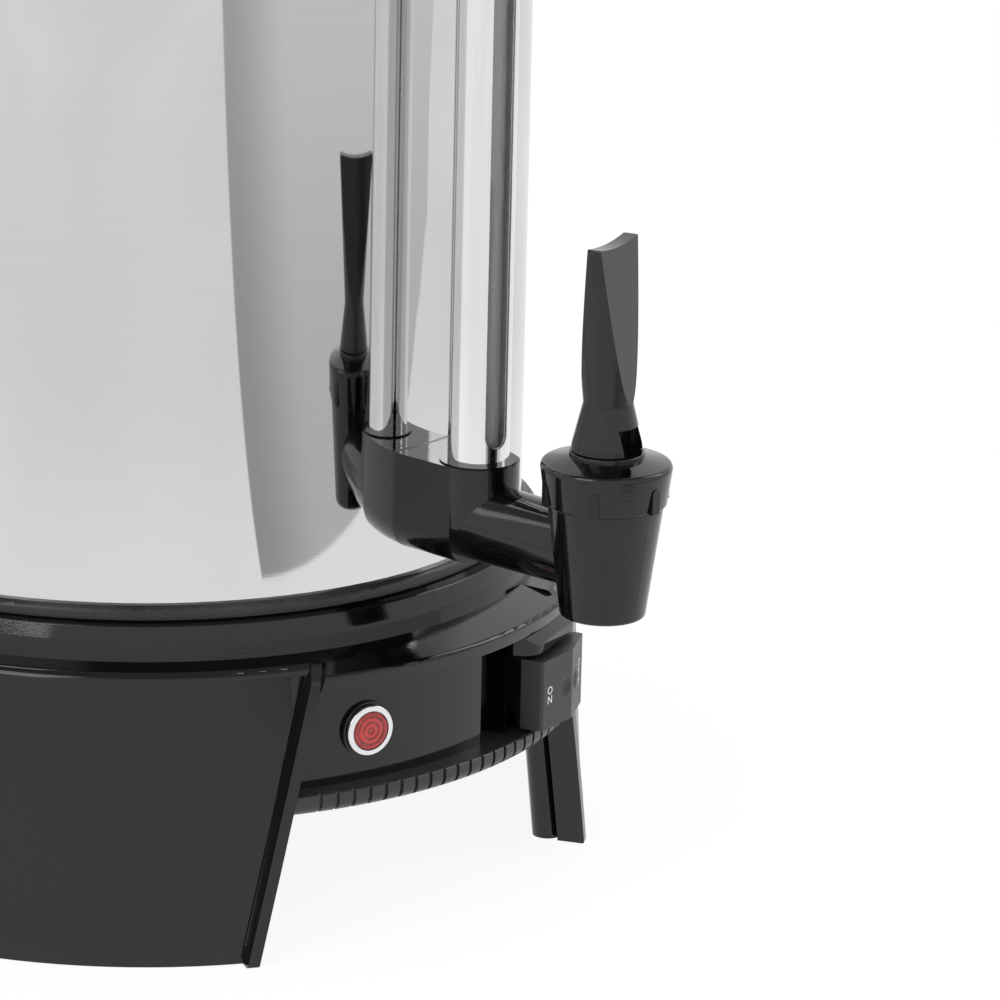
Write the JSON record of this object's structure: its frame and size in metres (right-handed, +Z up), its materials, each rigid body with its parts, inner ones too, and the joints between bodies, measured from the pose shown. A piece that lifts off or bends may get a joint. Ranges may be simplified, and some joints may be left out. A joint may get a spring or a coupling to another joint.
{
  "type": "coffee urn",
  "caption": "Stainless percolating coffee urn on a black moulded base with arc legs, tilting faucet, guarded sight gauge, pilot lamp, rocker switch and lift-off lid.",
  "frame": {"origin": "on the floor, under the urn's axis, in the plane that the legs stand on", "axes": "+Z up along the urn's axis, -Y towards the faucet, +X towards the switch side seen from the front"},
  "size_m": [0.314, 0.3526, 0.546],
  "materials": {
    "black_moulding": "moulded black plastic, glossy",
    "cover_plastic": "moulded black plastic, satin",
    "inlet_plastic": "phenolic, satin",
    "handle_plastic": "moulded black plastic, semi-gloss",
    "switch_plastic": "moulded dark grey plastic, matte",
    "stem_plastic": "natural acetal",
    "bezel": "plated bezel",
    "lens": "clear red plastic",
    "seal": "black rubber",
    "silicone": "translucent silicone",
    "steel": "polished stainless steel",
    "basket_metal": "spun aluminium, satin",
    "chrome": "chrome plated",
    "glass": "borosilicate tube",
    "zinc": "zinc plated steel",
    "heater_metal": "oxidised heater sheath",
    "brass": "nickel plated brass"
  },
  "bodies": {
    "urn": {"base_shell": "black_moulding", "bottom_cover": "cover_plastic", "front_panel": "black_moulding", "switch_housing": "black_moulding", "power_inlet": "inlet_plastic", "faucet_body": "black_moulding", "faucet_bonnet": "black_moulding", "handle_left": "handle_plastic", "handle_right": "handle_plastic", "lamp_body": "black_moulding", "lamp_bezel": "bezel", "lamp_lens": "lens", "body_gasket": "seal", "faucet_gasket": "seal", "shank_washer": "seal", "bonnet_washer": "seal", "gauge_seal_lower": "seal", "gauge_seal_upper": "seal", "tank": "steel", "heater_well": "steel", "gauge_guard": "chrome", "gauge_cap": "chrome", "gauge_glass": "glass", "cover_screws": "zinc", "tie_rod": "zinc", "tie_nut": "zinc", "thermostat": "zinc", "thermal_fuse": "zinc", "heater_ring": "heater_metal", "handle_studs": "zinc", "handle_nuts": "zinc", "pivot_pin": "zinc", "faucet_spring": "zinc", "shank_nut": "cover_plastic", "switch_terminals": "brass", "inlet_pins": "brass"},
    "rocker": {"switch_rocker": "switch_plastic"},
    "stem": {"faucet_stem": "stem_plastic", "seat_cup": "silicone"},
    "handle": {"faucet_handle": "handle_plastic", "handle_pin": "zinc"},
    "lid": {"lid": "steel", "lid_knob": "handle_plastic", "knob_screw": "zinc"},
    "pump": {"pump_tube": "basket_metal", "pump_base": "basket_metal"},
    "basket": {"coffee_basket": "basket_metal", "basket_screen": "basket_metal", "basket_sleeve": "basket_metal"},
    "basket_cover": {"basket_cover": "basket_metal"}
  },
  "joints": [
    {"name": "faucet_tilt", "type": "hinge", "parent": "stem", "child": "handle", "pos_m": [0, -0.1919, 0.166], "axis": [0.9636, 0.2672, 0], "range_deg": [0, 35], "stiffness_Nm_per_rad": 0.3, "springref_deg": -17.19},
    {"name": "stem_lift", "type": "slide", "parent": "urn", "child": "stem", "axis": [0, 0, 1], "range_m": [0, 0.0048], "deforming": ["faucet_spring"]},
    {"name": "switch_rock", "type": "hinge", "parent": "urn", "child": "rocker", "pos_m": [0.042, -0.12409, 0.0642], "axis": [0, 0, 1], "range_deg": [-6, 6]},
    {"name": "lid_lift", "type": "slide", "parent": "urn", "child": "lid", "axis": [0, 0, 1], "range_m": [0, 0.24]},
    {"name": "basket_cover_lift", "type": "slide", "parent": "urn", "child": "basket_cover", "axis": [0, 0, 1], "range_m": [0, 0.192]},
    {"name": "basket_lift", "type": "slide", "parent": "urn", "child": "basket", "axis": [0, 0, 1], "range_m": [0, 0.144]},
    {"name": "pump_lift", "type": "slide", "parent": "urn", "child": "pump", "axis": [0, 0, 1], "range_m": [0, 0.084]}
  ],
  "couplings": [
    {"joint": "stem_lift", "follows": "faucet_tilt", "m_per_rad": 0.0076},
    {"joint": "basket_cover_lift", "follows": "lid_lift", "ratio": 0.8},
    {"joint": "basket_lift", "follows": "lid_lift", "ratio": 0.6},
    {"joint": "pump_lift", "follows": "lid_lift", "ratio": 0.35}
  ]
}
